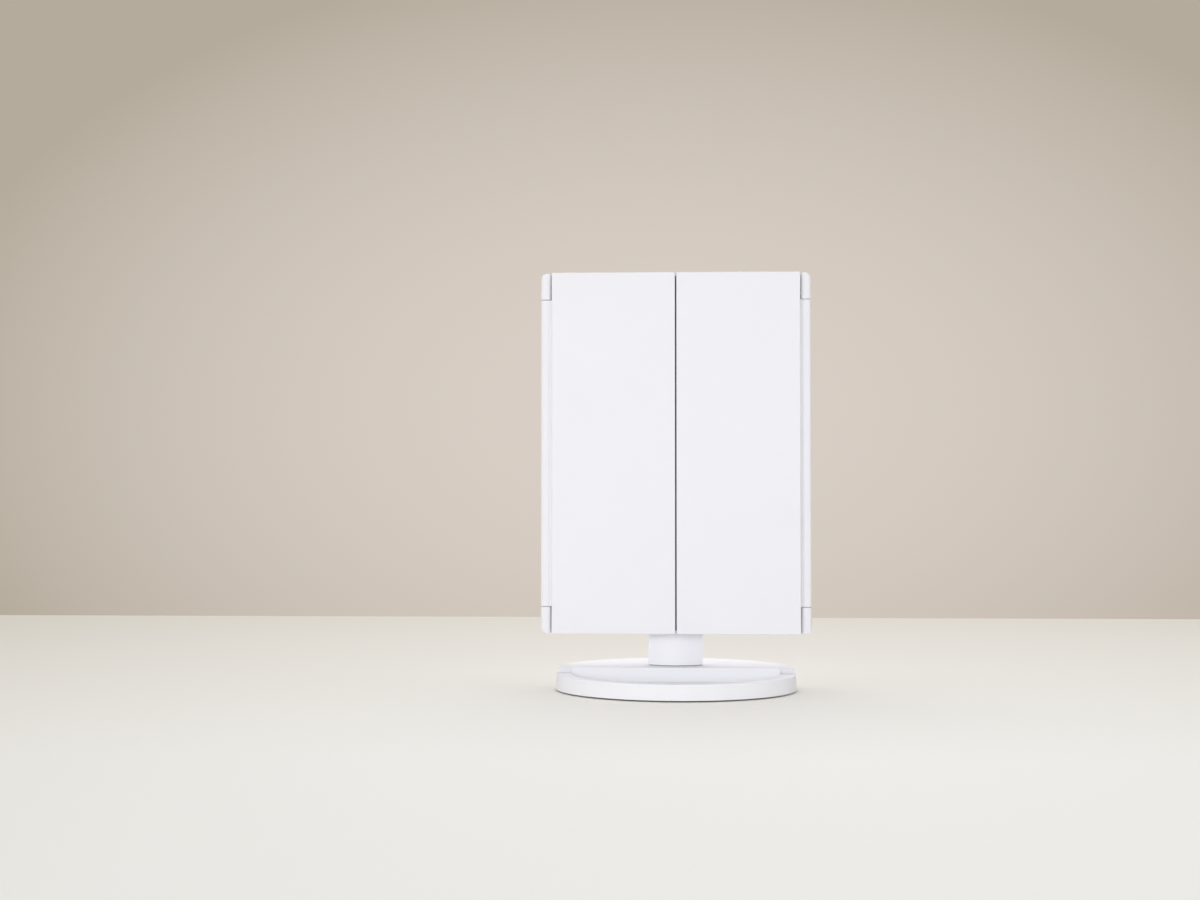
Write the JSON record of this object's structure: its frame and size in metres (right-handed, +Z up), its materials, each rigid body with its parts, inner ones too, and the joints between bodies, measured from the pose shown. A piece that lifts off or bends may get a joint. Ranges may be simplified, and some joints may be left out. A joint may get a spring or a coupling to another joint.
{
  "type": "trifold vanity mirror",
  "caption": "Table mirror with two wings that fold shut over a lit centre glass, tilting on a short neck above an oval tray base.",
  "frame": {"origin": "centre of the oval base's footprint, on the surface the feet stand on", "axes": "+Z up along the panel, +X to the viewer's right, +Y to the back; the closed wings face -Y"},
  "size_m": [0.18, 0.115, 0.2775],
  "materials": {
    "white_shell": "white moulded ABS, satin gloss",
    "white_frame": "white moulded ABS, satin gloss",
    "white_inner": "white moulded plastic, matt inside face",
    "mirror_glass": "silvered glass, polished",
    "frosted_light": "etched glass that spreads the light",
    "diffuser": "opal plastic strip",
    "board_green": "glass fibre board with solder mask",
    "board_white": "white solder mask",
    "chip_black": "moulded epoxy components",
    "led_body": "white package with yellow phosphor",
    "copper_pad": "copper foil",
    "flex_lead": "polyimide flat lead",
    "wire_cover": "insulated lead",
    "steel": "zinc-plated steel",
    "spring_steel": "nickel-plated spring strip",
    "rubber_feet": "pale grey rubber",
    "bush_plastic": "grey acetal friction bush",
    "adhesive": "double-sided foam tape",
    "cell_jacket": "plain dark jacket on a steel can",
    "black_plastic": "black moulded nylon"
  },
  "bodies": {
    "stand": {"base_tray": "white_shell", "base_bottom_cover": "white_inner", "base_ballast": "steel", "base_feet": "rubber_feet", "base_screws": "steel", "neck_shell": "white_shell", "neck_back_cover": "white_shell", "neck_screws": "steel", "neck_cover_screw": "steel", "tilt_bushes": "bush_plastic"},
    "battery_door": {"battery_door": "white_shell"},
    "power_switch": {"switch_knob": "black_plastic"},
    "right_wing": {"right_wing_cover": "white_shell", "right_wing_frame": "white_frame", "right_wing_glass": "mirror_glass", "right_wing_pads": "adhesive", "right_hinge_bushes": "bush_plastic"},
    "left_wing": {"left_wing_cover": "white_shell", "left_wing_frame": "white_frame", "left_wing_upper_glass": "mirror_glass", "left_wing_lower_glass": "mirror_glass", "left_wing_pads": "adhesive", "left_hinge_bushes": "bush_plastic"},
    "panel": {"tilt_pin": "steel", "tilt_washers": "steel", "tilt_pin_caps": "white_frame", "rear_housing": "white_shell", "front_frame": "white_frame", "housing_screws": "steel", "wing_hinge_pins": "steel", "centre_mirror": "mirror_glass", "centre_mirror_pads": "adhesive", "light_windows": "frosted_light", "touch_mark": "frosted_light", "light_diffuser": "diffuser", "led_boards": "board_white", "leds": "led_body", "touch_sensor_pad": "copper_pad", "touch_lead": "flex_lead", "main_board": "board_green", "board_components": "chip_black", "board_screws": "steel", "usb_board": "board_green", "usb_socket": "steel", "switch_board": "board_green", "power_switch_body": "black_plastic", "wire_harness": "wire_cover", "battery_cells": "cell_jacket", "battery_contacts": "spring_steel", "battery_springs": "spring_steel"}
  },
  "joints": [
    {"name": "panel_tilt", "type": "hinge", "parent": "stand", "child": "panel", "pos_m": [0, 0.017, 0.05], "axis": [-1, 0, 0], "range_deg": [-15, 90]},
    {"name": "right_wing_hinge", "type": "hinge", "parent": "panel", "child": "right_wing", "pos_m": [0.0867, 0.0006, 0.1575], "axis": [0, 0, 1], "range_deg": [0, 180]},
    {"name": "left_wing_hinge", "type": "hinge", "parent": "panel", "child": "left_wing", "pos_m": [-0.0867, 0.0006, 0.1575], "axis": [0, 0, -1], "range_deg": [0, 180]},
    {"name": "battery_door_lift", "type": "slide", "parent": "panel", "child": "battery_door", "axis": [0, 1, 0], "range_m": [0, 0.025]},
    {"name": "power_switch_slide", "type": "slide", "parent": "panel", "child": "power_switch", "axis": [0, 0, 1], "range_m": [0, 0.003]}
  ]
}
